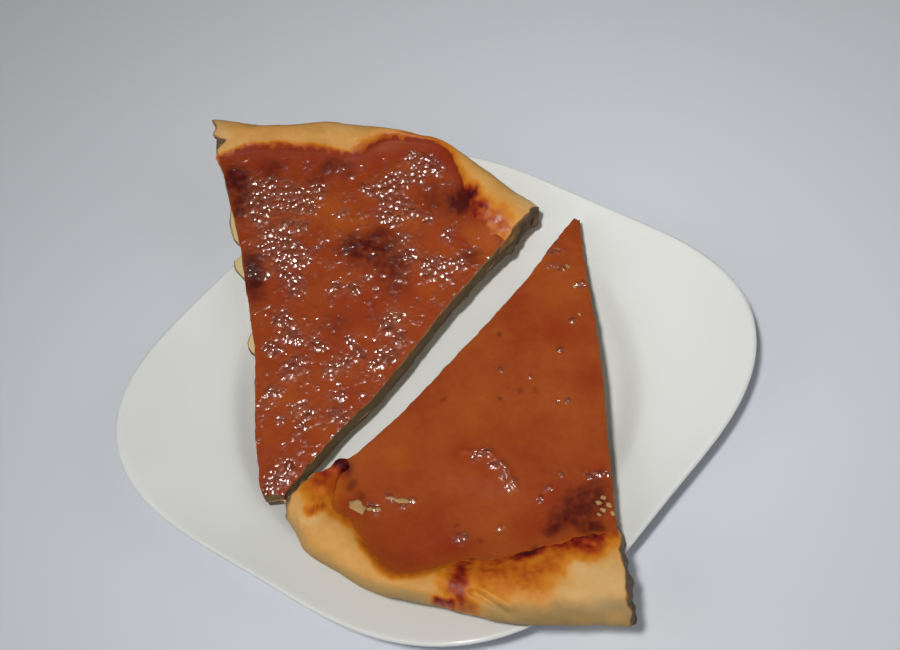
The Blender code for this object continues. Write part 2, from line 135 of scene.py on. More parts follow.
# apex is where the cuts would meet, heading and half are degrees, tip is the blunt point's radius.
# crest, lip, footIn, crestZ and lipZ stand evenly across the slice, from its low cut to its high one,
# low and high say how far each cut strays from a straight line at a distance from the apex
sliceA = {
    "apex": (-60.2, -37.4), "heading": 65.5, "half": 25.4, "tip": 4.5, "tilt": 3.0, "seed": 3.0,
    "crest": [143.9, 144.1, 145.7, 148.2, 151.9, 152.0, 151.9, 152.4, 153.4, 153.2, 153.3, 157.1, 163.6],
    "lip": [123.1, 123.6, 128.7, 139.4, 147.7, 147.8, 145.8, 137.2, 138.3, 139.7, 141.6, 142.8, 142.1],
    "footIn": [2.5, 2.5, 2.5, 2.5, 3.0, 3.0, 3.0, 3.0, 3.0, 3.0, 3.0, 4.0, 6.0],
    "crestZ": [11.2, 12.4, 13.0, 12.4, 11.6, 11.8, 13.2, 14.4, 14.6, 14.2, 13.8, 13.8, 12.6],
    "lipZ": [9.2, 9.6, 9.8, 9.8, 10.0, 10.0, 10.2, 10.2, 10.2, 10.0, 10.0, 9.8, 9.2],
    "low": [(4, -1.0), (18, -0.9), (34, -0.8), (48, 0.5), (64, 0.5), (94, -1.0), (122, 0.2), (145, 1.4)],
    "high": [(4, 4.0), (9, 4.8), (26, 3.8), (60, -0.6), (80, -0.9), (101, -1.2), (124, 0.3), (144, 1.7), (164, 0.6)],
    "ear": [], "earRound": 0.0,
    # pieces that stick out or are torn away along the left cut: distance from the tip and reach
    "torn": [(58, 0), (60, 0.3), (61.4, 1.9), (63.7, 3.5), (65.9, 3.8), (73, 0.4), (91, 0.4), (92.7, 1.4),
             (97.2, 4.5), (101.5, 4.9), (103.5, 0.2), (106.8, 0.2), (107.7, 0.9), (110.5, 2.7), (118, 2.8),
             (127, 1.1), (131, 0), (141.5, 0), (143.9, 1.0), (146.3, 0), (149.2, -3.8), (152.3, 0.6), (156, -1.0),
             (161.7, 0.8)],
    "swells": [(100.0, -0.26, 11.0, 0.5), (56.0, 0.3, 18.0, 0.4), (132.0, 0.5, 12.0, 0.4)],
    # lines that stand up or are pressed in: both ends, width and height in mm
    "folds": [(-24.5, 102, -22.5, 101.5, 2.6, 0.7), (-49.5, 116.5, -51, 107.5, 0.8, -0.4),
              (22, 41.5, 25, 48, 1.2, -0.5), (20, 40.5, 23, 44.5, 1, 0.4)],
    # x, y, radius and strength of the places that stand out on the baked skin
    "dark": [(-59, 95, 4.7, 1), (-57, 85, 3.5, 0.8), (-60, 80, 2.7, 0.7), (-56, 58, 3.3, 0.8), (-58, 51, 4.1, 1),
             (-57, 43, 2.9, 0.6), (-44, 96, 3.5, 0.6), (-28, 87, 3.1, 0.4), (-22, 91, 3.1, 0.6),
             (-16, 88, 2.7, 0.5), (-20, 55, 4.4, 0.7), (-13, 52, 5.9, 0.8), (-6, 45, 4.7, 0.7),
             (-7, 37, 4.3, 0.5), (-8, 55, 4.4, 0.6), (14, 67, 5.2, 0.5), (23, 63, 4.4, 1), (25, 65, 3, 1),
             (-30, 26, 3.9, 0.3), (22, 40, 3.3, 0.6)],
    "red": [(-49, 99, 4.7, 0.8), (-39, 98, 4.6, 0.8), (-29, 95, 4.6, 0.8), (-5, 89, 5.3, 0.8), (4, 89, 4.6, 0.7),
            (16, 86, 4.5, 0.8), (20, 81, 3.8, 0.8), (-54, 70, 3.8, 0.6), (-45, 66, 3.7, 0.5), (-52, 62, 3, 0.6),
            (-39, 54, 3.7, 0.4), (-26, 34, 5.1, 0.6), (-17, 32, 4.3, 0.6), (-34, 16, 4.3, 0.4), (-42, 12, 5, 0.4),
            (-54, 29, 3.6, 0.4), (17, 51, 3.3, 0.7), (20, 46, 3.3, 0.7), (3, 38, 2.9, 0.4), (-54, -25, 3.4, 0.4),
            (-31, -2, 3.1, 0.4), (-14, 40, 5.1, 0.5)],
    "amber": [(-27, 74, 5.3, 0.7), (-22, 67, 4.5, 0.7), (0, 63, 3.3, 0.6), (-37, 69, 3, 0.4), (5, 58, 2.9, 0.5),
              (-15, 63, 3, 0.6), (-9, 24, 3.2, 0.5), (5, 31, 2.9, 0.5), (-21, 19, 3.2, 0.4), (-32, 8, 2.8, 0.4),
              (-48, -4, 3.5, 0.4), (-52, 2, 2.8, 0.4), (-59, -13, 3.1, 0.3), (-42, -13, 2.8, 0.4),
              (4, 85, 3, 0.3), (25, 50, 26, 41, 3.2, 0.6), (29, 52, 30, 43, 2.8, 0.6)],
    "wet": [(-51, 88, 3.5), (-50, 81, 3.8), (-52, 76, 3), (-47, 89, 3.1), (-41, 81, 4.2), (-36, 77, 3.8),
            (-39, 85, 3.1), (-33, 83, 2.7), (-27, 82, 2.3), (-32, 75, 1.9), (-21, 70, 1.9), (-10, 78, 2.3),
            (-6, 76, 2.6), (-1, 78, 2.6), (2, 79, 2.3), (-14, 67, 1.5), (-6, 65, 2.2), (-2, 62, 2.2),
            (-50, 69, 2.6), (-43, 68, 3), (-37, 68, 2.2), (-48, 63, 4.1), (-42, 59, 3.7), (-39, 55, 3),
            (-45, 55, 3.3), (-49, 60, 3), (-44, 47, 2.9), (-42, 42, 2.6), (-32, 58, 1.5), (-22, 54, 1.5),
            (-17, 41, 1.8), (-57, 55, 2.2), (-52, 52, 1.8), (-28, 40, 1.8), (-22, 38, 2.2), (9, 87, 2.3),
            (13, 84, 2.6), (17, 80, 2.6), (10, 80, 3), (4, 79, 2.3), (0, 76, 3), (-3, 71, 2.6), (1, 68, 2.6),
            (4, 64, 2.2), (10, 60, 1.8), (15, 51, 2.2), (0, 54, 2.2), (1, 47, 2.5), (7, 41, 2.9), (11, 41, 2.2),
            (17, 39, 2.5), (12, 34, 1.8), (6, 36, 1.8), (-49, 32, 3.3), (-45, 24, 3.2), (-53, 22, 2.5),
            (-49, 11, 2.5), (-45, 14, 2.1), (-56, 4, 1.8), (-9, 23, 2.8), (-13, 21, 2.5), (-9, 14, 2.1),
            (-18, 8, 2.8), (-13, 10, 2.1), (-30, 9, 2.5), (-35, 8, 2.1), (-33, -2, 2.1), (-48, -3, 2.1),
            (-45, -6, 1.7), (-36, -8, 2.1), (-34, -11, 1.7), (-48, -10, 1.7), (-38, 19, 2.1), (-26, 18, 1.8),
            (-24, 12, 1.8), (-55, -6, 1.4), (-61, -29, 2.1), (-58, -27, 2.1), (-54, -24, 2.1), (-62, -31, 1.7)],
    "grainy": 1.0,
    # where the filling's juice ran over the pastry: x, y, radius and how far it baked, from amber to maroon
    "juice": [(-62, 103.5, -52.5, 104.5, 1, 0.5), (-52.5, 104.5, -36, 101.5, 1, 0.5),
              (-36, 101.5, -21.5, 95.5, 1, 0.55), (-21.5, 95.5, -16, 92, 1, 0.5), (-16, 92, -5, 95, 1.1, 0.4),
              (-5, 95.5, 6, 95.5, 1.3, 0.4), (6, 95.5, 17, 92, 1.5, 0.42), (17, 91.5, 22, 85.5, 1.5, 0.45),
              (22, 85.5, 23.5, 77.5, 1.7, 0.4), (23.5, 77.5, 24.5, 69.5, 1.7, 0.42),
              (21.5, 68, 26.5, 63.5, 2.2, 1), (23, 61.5, 27, 55, 2.2, 0.75), (24.5, 53.5, 25.5, 44, 2.9, 0.6),
              (26, 46, 28.5, 41, 2.5, 0.56), (21.5, 42.5, 23.5, 38, 2.2, 0.7), (30, 55, 35, 49.5, 3, 0.56),
              (31, 48.5, 36, 47, 2.6, 0.5), (28, 53, 29, 49, 2.6, 0.62), (34, 52.5, 37.5, 46.5, 1.8, 0.42),
              (26, 60, 30.5, 57.5, 1.5, 0.8), (33.5, 43.5, 38, 44.5, 1.5, 0.34), (20, 66.5, 22, 61, 2.6, 0.95)],
    "juiceEdge": 1.2, "juiceSpread": 1.5, "filmGloss": 0.4,
    "lipTone": [0.5, 0.44, 0.4, 0.4, 0.44, 0.56, 0.64, 0.64, 0.62, 0.62],
    "burntSpread": 1.25, "wetSpread": 1.2, "redBand": 0.9, "amberEdge": 0.3, "ruddy": 0.3,
    "flare": 0.0, "ridges": [], "oliveShade": [],
    # pale, hardly baked places on the rim
    "blanched": [(45, 58, 50, 53.5, 3.4, 0.5), (-63, 123, -61, 114, 3, 0.3)],
}
sliceB = {
    "apex": (64.7, 50.2), "heading": 241.1, "half": 21.2, "tip": 1.8, "tilt": 3.0, "seed": 17.0,
    "crest": [154.0, 158.6, 159.0, 159.2, 158.6, 156.9, 155.8, 155.6, 155.9, 155.4, 155.0, 154.6, 155.4],
    "lip": [127.0, 140.5, 143.0, 148.4, 151.0, 147.2, 140.6, 137.9, 134.4, 130.8, 127.8, 125.7, 125.2],
    "footIn": [2.0, 1.1, 1.1, 1.1, 1.1, 1.1, 1.1, 1.1, 1.1, 1.1, 1.1, 1.1, 1.1],
    "crestZ": [12.2, 13.6, 13.2, 12.6, 12.4, 12.6, 13.4, 13.8, 13.6, 13.2, 12.8, 12.6, 11.8],
    "lipZ": [9.6, 10.0, 10.2, 10.3, 10.5, 10.4, 10.0, 9.8, 9.6, 9.6, 9.6, 9.4, 9.2],
    "low": [(4, 1.4), (11, 0.9), (19, 0.2), (32, -1.3), (60, -1.2), (92, -0.7), (107, -0.2), (118, 1.0), (125, 1.4)],
    "high": [(4, -0.5), (29, -0.1), (46, 0.9), (62, 1.3), (93, 0.3), (125, -0.4), (152, 0.2)],
    "ear": [(126, 0.0), (130, 3.7), (135, 5.4), (141, 6.8), (146, 7.3), (150, 6.8), (154, 5.0), (157, 1.6)],
    "earRound": 2.2,
    "torn": [],
    "swells": [(101.9, 0.02, 11.5, 1.5), (119.0, 0.25, 9.0, -0.5), (60.0, -0.2, 16.0, 0.3)],
    "folds": [(-10, -78, -8.5, -80.5, 2.2, 0.9), (-1, -85.5, 7.5, -93.5, 0.9, -1.2),
              (1.5, -85, 10, -92.5, 0.9, 0.7), (-4.5, -88.5, -1.5, -90.5, 1.3, -0.8),
              (-34, -62, -30.5, -68, 1.6, 0.7), (-44.5, -37.5, -41.5, -40, 1.3, 0.8),
              (-49.5, -39, -47, -43.5, 1.6, 0.5), (-37.5, -29.5, -34, -32.5, 2, 1.5),
              (-40, -40.5, -37.5, -33.5, 1.3, 0.6), (-22.5, -78, -14, -82.5, 1.9, 0.4),
              (13.5, -88, 25, -90.5, 2.8, 0.5)],
    # the burst bubble on the skin
    "ridges": [(5, -35, 13.5, -38, 1, 0.5), (13.5, -38, 17, -44.5, 1, 0.6), (17, -44.5, 19.5, -52, 1, 0.6),
               (1, -41, 11.5, -47.5, 5, 0.6)],
    "dark": [(-34, -33, 2.3, 0.9), (-33, -39, 2, 0.5), (-31, -44, 1.6, 0.4), (33, -64, 44, -58, 4.4, 0.56),
             (29, -67, 43, -65, 3.2, 0.5), (37, -60, 46, -62, 3, 0.5), (27, -69, 2.6, 0.6), (20, -76, 2.2, 0.8),
             (31, -66, 42, -72, 1.9, 0.5), (42, -71, 1.9, 0.5), (38, -71, 2.6, 0.7), (15, 9, 0.9, 0.7),
             (25, 7, 0.9, 0.6), (20, -18, 0.7, 0.7), (2, -14, 0.7, 0.6), (-2, -60, 0.8, 0.6), (5, -68, 1, 0.5),
             (48, -52, 1, 0.5), (45, -4, 1.4, 0.3), (28, -17, 1, 0.4), (33, -18, 1, 0.4)],
    "red": [(46, 4, 7, 0.4), (52, -18, 4.8, 0.4), (36, 19, 5, 0.3), (11, -46, 7.2, 0.4), (4, -35, 4.7, 0.4),
            (-20, -58, 8.4, 0.4), (-34, -45, 5.9, 0.5), (-12, -66, 6.4, 0.4), (29, -58, 4.6, 0.6),
            (20, -67, 5.1, 0.6), (47, -52, 3.3, 0.6), (-4, -68, 3.9, 0.7), (-38, -30, -36, -35, 2, 0.6)],
    "amber": [(14, -17, 8.8, 0.1), (-2, -29, 6.7, 0.1), (42, 33, 4.5, 0.25), (48, 16, 4.3, 0.2),
              (-16, -32, 4.7, 0.4), (12, -62, 4.5, 0.2), (-39, -33, -36, -41, 3.2, 0.75)],
    "wet": [(9, -38, 1.7), (12, -38, 1.7), (15, -42, 1.6), (17, -46, 1.6), (18, -50, 1.6), (-22, -46, 1.3),
            (-18, -48, 1.6), (-15, -49, 1.3), (43, -53, 1), (46, -53, 1.1), (49, -53, 1), (34, -50, 0.8),
            (26, -57, 1), (-28, -66, 1), (-20, -72, 0.8), (-2, -65, 1.9), (0, -65, 1.6), (11, -65, 1.3),
            (29, -54, 1.3), (50, 40, 1.5), (51, 37, 1.5), (54, 36, 1.5), (53, 41, 1.1), (49, 31, 1.4),
            (52, 29, 1.4), (57, 20, 1.4), (52, 7, 1.4), (45, -4, 1), (24, -7, 1), (32, -12, 1), (39, -24, 1),
            (42, -24, 1), (-28, -48, 1.6), (-26, -50, 1.3)],
    "grainy": 0.12,
    "juice": [(-37.5, -29.5, -33.5, -32.5, 1.8, 1), (-46, -30, -40.5, -29.5, 1.5, 0.74),
              (-48.5, -26, -40, -34.5, 2.3, 0.74), (-43.5, -37, -36.5, -33.5, 2.7, 0.6),
              (-40, -40, -36, -36, 3, 0.52), (-44.5, -42.5, -39.5, -44, 2.3, 0.36),
              (-47, -47, -42.5, -46.5, 1, 0.5), (-40, -49, -34.5, -51.5, 1.3, 0.34),
              (-34.5, -51.5, -30.5, -55.5, 1.6, 0.38), (-30, -57, -29.5, -63, 1.3, 0.36),
              (-29, -65, -26.5, -70.5, 1.3, 0.4), (-26.5, -72, -18.5, -74.5, 1.3, 0.36),
              (-18.5, -74, -11.5, -72, 1.3, 0.34), (-11.5, -72, -5, -71.5, 1.6, 0.36),
              (1, -69.5, -3, -77.5, 2.8, 0.66), (-10, -78, -9, -79.5, 1.5, 0.3),
              (-1, -73.5, -5, -82.5, 2.2, 0.74), (-4.5, -82.5, -5, -87, 1.6, 0.68),
              (-13, -85.5, -8.5, -87, 0.8, 0.72), (-6.5, -87, -2.5, -89, 1.6, 0.4),
              (6, -75.5, 14, -75.5, 2.9, 0.54), (4, -80, 14.5, -81.5, 3.1, 0.48),
              (8, -84.5, 19.5, -87, 2.6, 0.38), (16, -83.5, 24, -81.5, 2.8, 0.46),
              (23, -79.5, 28, -79, 2.2, 0.42), (14.5, -76, 21, -74.5, 1.9, 0.85),
              (20.5, -71.5, 22.5, -70.5, 1.3, 0.9), (17, -75, 18.5, -77, 1.3, 0.7),
              (27.5, -73.5, 35.5, -73, 2.8, 0.78), (28, -72, 38.5, -78.5, 1.9, 0.7),
              (34.5, -71, 40.5, -76, 1.6, 0.8), (35.5, -73.5, 42, -73, 2.4, 0.84),
              (27, -76.5, 33, -76.5, 1.9, 0.48), (36.5, -77.5, 42, -75.5, 1.6, 0.42),
              (27.5, -69, 43, -66.5, 2.9, 0.9), (37, -60.5, 44, -62, 2.3, 0.85), (3.5, -78, 7.5, -80.5, 1.3, 0.5),
              (11.5, -79, 13, -82.5, 0.9, 0.5)],
    "juiceEdge": 2.8, "juiceSpread": 1.85, "filmGloss": 0.03,
    "lipTone": [0.6, 0.54, 0.5, 0.48, 0.46, 0.45, 0.46, 0.52, 0.62, 0.68],
    "burntSpread": 1.08, "wetSpread": 1.0, "redBand": 0.15, "amberEdge": 0.95, "ruddy": 0.0, "flare": 2.2,
    # painted shade: where the outside of the rim is coloured greenish and dark because it lies in shade
    "oliveShade": [(-2.5, -88.5, 6, -93.5, 1.6, 0.6), (6, -92.5, 18, -96, 2.2, 0.8), (18, -95, 35.5, -99, 2.6, 1),
              (36, -97.5, 44, -100.5, 2.6, 1)],
    "blanched": [(31.5, -83.5, 41, -90.5, 6, 0.4), (-50, -42.5, -47, -51, 3, 0.3),
                 (25, -90.5, 38.5, -94.5, 2.5, 0.3)],
}


def between(values, v):
    # a smooth curve through values that stand evenly across the slice, from v = -1 to v = 1
    values = np.asarray(values, float)
    place = (np.clip(v, -1, 1) + 1) / 2 * (len(values) - 1)
    i = np.clip(np.floor(place).astype(int), 0, len(values) - 2)
    f = place - i
    padded = np.concatenate([[2 * values[0] - values[1]], values, [2 * values[-1] - values[-2]]])
    p0, p1, p2, p3 = padded[i], padded[i + 1], padded[i + 2], padded[i + 3]
    return 0.5 * (2 * p1 + (p2 - p0) * f + (2 * p0 - 5 * p1 + 4 * p2 - p3) * f ** 2
                  + (3 * p1 - p0 - 3 * p2 + p3) * f ** 3)


def along(pairs, r):
    if not pairs:
        return np.zeros_like(r)
    return np.interp(r, [p[0] for p in pairs], [p[1] for p in pairs])


def wobble(points, sizeMm, seed):
    # smooth noise from -1 to 1 at each point, with lumps of about that size
    shift = Vector((seed * 7.3, seed * 3.1, seed * 5.7))
    return np.array([noise.noise(Vector(p) / sizeMm + shift) for p in points])


def lumps(points, sizeAndHeight, seed):
    size, height = sizeAndHeight
    return height * wobble(points, size, seed)


def smoothStep(low, high, x):
    t = np.clip((x - low) / (high - low), 0, 1)
    return t * t * (3 - 2 * t)


def rimSizes(cut, v):
    crest = between(cut["crest"], v)
    lip = np.minimum(between(cut["lip"], v), crest - shellSettings["minWall"])
    return lip, crest, crest - between(cut["footIn"], v), between(cut["lipZ"], v), between(cut["crestZ"], v)


def shellTop(cut, v, s):
    # floor, inner wall, climb to the crest, round outside and underside follow each other along s from 0 to 1
    k = shellSettings
    lip, crest, foot, lipZ, crestZ = rimSizes(cut, v)
    ends = [k["floorTo"], k["wallTo"], k["crestTo"], k["sideTo"]]
    onFloor, onWall, climb, turn, under = [
        np.clip((s - start) / (end - start), 0, 1) for start, end in zip([0.0] + ends, ends + [1.0])]
    turn = turn * math.pi / 2
    floorEnd = lip - k["floorEnd"]
    steps = np.linspace(0, 1, len(k["wallIn"]))
    peak = lip + (crest - lip) * k["peak"]
    wide = crestZ * k["bulgeAt"]
    stretches = [s <= end for end in ends]
    r = np.select(stretches, [
        cut["tip"] + (floorEnd - cut["tip"]) * onFloor,
        lip - np.interp(onWall, steps, k["wallIn"]),
        lip + (peak - lip) * climb,
        peak + (crest - peak) * np.sin(turn) ** k["fullness"],
    ], crest - (crest - foot) * under ** 2)
    z = np.select(stretches, [
        np.full_like(s, k["floor"]),
        k["floor"] + (lipZ - k["floor"]) * np.interp(onWall, steps, k["wallRise"]),
        lipZ + (crestZ - lipZ) * np.sin(climb * math.pi / 2),
        wide + (crestZ - wide) * np.abs(np.cos(turn)) ** k["fullness"],
    ], wide + (k["footBevel"] - wide) * under)
    return r, z


def shellBottom(cut, v, s):
    k = shellSettings
    lip, _, foot, _, _ = rimSizes(cut, v)
    floorEnd = lip - k["floorEnd"]
    beyond = np.clip((s - k["floorTo"]) / (1 - k["floorTo"]), 0, 1)
    r = np.where(s <= k["floorTo"], cut["tip"] + (floorEnd - cut["tip"]) * np.clip(s / k["floorTo"], 0, 1),
                 floorEnd + (foot - k["footBevel"] - floorEnd) * beyond)
    return r, np.zeros_like(s)


def custardTop(cut, v, s):
    k = custardSettings
    lip, crest, _, lipZ, crestZ = rimSizes(cut, v)
    r = cut["tip"] + (lip + k["lap"] - cut["tip"]) * s
    fromTip = np.minimum(1, (r - cut["tip"]) / k["tipReach"])
    z = k["top"] - k["tipDrop"] * (1 - fromTip) ** 2
    toLip = np.clip(1 - (lip - r) / k["lipReach"], 0, 1)
    z = z + (lipZ + k["lipRise"] - z) * toLip ** 2
    spots = np.stack([r, v * k["acrossMm"], np.full_like(r, cut["seed"])], 1)
    z = z + lumps(spots, k["wave"], 0) * (1 - toLip)
    for at, across, width, height in cut["swells"]:
        offset = np.hypot(r - at, (v - across) * math.radians(cut["half"]) * at)
        z = z + height * np.exp(-(offset / width) ** 2) * (1 - toLip)
    # past the lip a film of it creeps up the pastry and thins away
    past = np.clip((r - lip) / k["lap"], 0, 1)
    climb = np.clip((r - lip) / ((crest - lip) * shellSettings["peak"]), 0, 1)
    film = k["film"] - k["filmFall"] * past ** 2 + past * lumps(spots, k["filmWaves"], 2)
    onPastry = lipZ + (crestZ - lipZ) * np.sin(climb * math.pi / 2) + film
    return r, np.where(r > lip, onPastry, z)


def rest(cut, x, y):
    # how the slice leans from its tip to its rim, and sags over the well
    heading = math.radians(cut["heading"])
    out = (x - cut["apex"][0]) * math.cos(heading) + (y - cut["apex"][1]) * math.sin(heading)
    sag = sagSettings["drop"] * np.maximum(0, 1 - (np.hypot(x, y) / sagSettings["reach"]) ** 2)
    return out * math.tan(math.radians(cut["tilt"])) - sag


def intoPlace(cut, r, v, z, reach):
    heading, half = math.radians(cut["heading"]), math.radians(cut["half"])
    angle = heading + v * half
    side = np.where(v < 0, -1.0, 1.0)
    stray = np.where(v < 0, along(cut["low"], r), along(cut["high"], r)) + reach
    push = side * stray * np.abs(v) ** 3
    edge = heading + side * half
    x = cut["apex"][0] + r * np.cos(angle) - push * np.sin(edge)
    y = cut["apex"][1] + r * np.sin(angle) + push * np.cos(edge)
    return np.stack([x, y, z + rest(cut, x, y) + cut["seat"]], 1)


def outOfPlace(cut, p):
    # the other way round: radius, place across, height above the underside, depth behind each cut
    heading, half = math.radians(cut["heading"]), math.radians(cut["half"])
    dx, dy = p[:, 0] - cut["apex"][0], p[:, 1] - cut["apex"][1]
    r = np.hypot(dx, dy)
    turn = np.arctan2(dy, dx) - heading
    turn = (turn + math.pi) % (2 * math.pi) - math.pi
    depth = []
    for side, pairs in ((-1, cut["low"]), (1, cut["high"])):
        edge = heading + side * half
        depth.append(along(pairs, r) - side * (-math.sin(edge) * dx + math.cos(edge) * dy))
    return r, turn / half, p[:, 2] - cut["seat"] - rest(cut, p[:, 0], p[:, 1]), depth[0], depth[1]


def unitBlock(across, out, layers, fineTop=False):
    # a block of cells from a grid pushed up layer by layer: x across, y outwards, z up, all from 0 to 1
    bm = bmesh.new()
    bmesh.ops.create_grid(bm, x_segments=across, y_segments=out, size=0.5)
    bmesh.ops.translate(bm, verts=bm.verts, vec=(0.5, 0.5, 0))
    top = list(bm.faces)
    for layer in range(layers):
        grown = bmesh.ops.extrude_face_region(bm, geom=top)["geom"]
        if layer > 0:
            bmesh.ops.delete(bm, geom=top, context="FACES")
        top = [g for g in grown if isinstance(g, bmesh.types.BMFace)]
        raised = [g for g in grown if isinstance(g, bmesh.types.BMVert)]
        bmesh.ops.translate(bm, verts=raised, vec=(0, 0, 1 / layers))
    if fineTop:
        edges = {edge for face in top for edge in face.edges}
        bmesh.ops.subdivide_edges(bm, edges=list(edges), cuts=1, use_grid_fill=True)
    return bm


def toObject(name, bm, points, rounds=0):
    # points are in millimetres about the plate's middle
    for vert, point in zip(bm.verts, points):
        vert.co = Vector((point + middle) / 1000)
    for _ in range(rounds):
        bmesh.ops.smooth_vert(bm, verts=bm.verts, factor=0.5, use_axis_x=True, use_axis_y=True, use_axis_z=True)
    bmesh.ops.recalc_face_normals(bm, faces=bm.faces)
    for face in bm.faces:
        face.smooth = True
    mesh = bpy.data.meshes.new(name)
    bm.to_mesh(mesh)
    bm.free()
    made = bpy.data.objects.new(name, mesh)
    bpy.context.scene.collection.objects.link(made)
    return made


def pointsOf(piece):
    flat = np.empty(len(piece.data.vertices) * 3)
    piece.data.vertices.foreach_get("co", flat)
    return flat.reshape(-1, 3) * 1000 - middle


def normalsOf(piece):
    flat = np.empty(len(piece.data.vertices) * 3)
    piece.data.vertices.foreach_get("normal", flat)
    return flat.reshape(-1, 3)


def placesIn(bm):
    return np.array([v.co[:] for v in bm.verts])


def setPoints(piece, points):
    piece.data.vertices.foreach_set("co", ((points + middle) / 1000).ravel())
    piece.data.update()


def mark(piece, name, values):
    layer = piece.data.attributes.new(name, "FLOAT", "POINT")
    layer.data.foreach_set("value", np.clip(values, 0, 1).astype(float))


def wander(points):
    # the places as seen by a brush: pushed about a little, so that painted edges come out uneven
    flat = points * [1, 1, 0]
    broad, small = brushSettings["push"]
    x = points[:, 0] + lumps(flat, broad, 2.0) + lumps(flat, small, 5.0)
    y = points[:, 1] + lumps(flat, broad, 3.0) + lumps(flat, small, 6.0)
    return x, y


def offLine(x, y, x0, y0, x1, y1):
    # how far each place is from the line between two ends
    dx, dy = x1 - x0, y1 - y0
    share = np.clip(((x - x0) * dx + (y - y0) * dy) / (dx * dx + dy * dy + 1e-9), 0, 1)
    return np.hypot(x - x0 - share * dx, y - y0 - share * dy)


def painted(seen, strokes, blend=True, hardness=2.4, spread=1.0):
    # soft brush strokes (both ends, radius, strength) or dabs (place, radius, strength)
    k = brushSettings
    x, y = seen
    left, top = np.ones_like(x), np.zeros_like(x)
    for stroke in strokes:
        if len(stroke) < 6:
            stroke = tuple(stroke[:2]) * 2 + tuple(stroke[2:])
        strength = stroke[5] if len(stroke) > 5 else 1.0
        off = offLine(x, y, *stroke[:4]) / (stroke[4] * spread)
        amount = strength * np.exp(-k["cling"] * np.minimum(off, k["farthest"]) ** hardness)
        left *= 1 - amount
        top = np.maximum(top, amount)
    return 1 - left if blend else top


def foldHeight(points, folds):
    # how far each fold stands up at a point, in mm
    total = np.zeros(len(points))
    for *ends, width, height in folds:
        total += height * np.exp(-(offLine(points[:, 0], points[:, 1], *ends) / width) ** 2)
    return total


def beads(points, sizeMm, reach, seed):
    # close-set round beads: 0 between them and 1 on top
    shift = Vector((seed * 3.3, seed * 8.1, seed * 1.7))
    off = np.array([noise.voronoi(Vector(p) / sizeMm + shift)[0][0] for p in points])
    return np.sqrt(np.clip(1 - (off / reach) ** 2, 0, 1))


def cutFaces(cut, points, normals):
    # how squarely a point faces out of a knife cut
    k = shellSettings
    heading, half = math.radians(cut["heading"]), math.radians(cut["half"])
    low, high = outOfPlace(cut, points)[3:]
    found = np.zeros(len(points))
    for side, depth in ((-1, low), (1, high)):
        edge = heading + side * half
        facing = side * (-math.sin(edge) * normals[:, 0] + math.cos(edge) * normals[:, 1])
        found = np.maximum(found, smoothStep(*k["facing"], facing) * (depth < k["cutDepth"]))
    return found


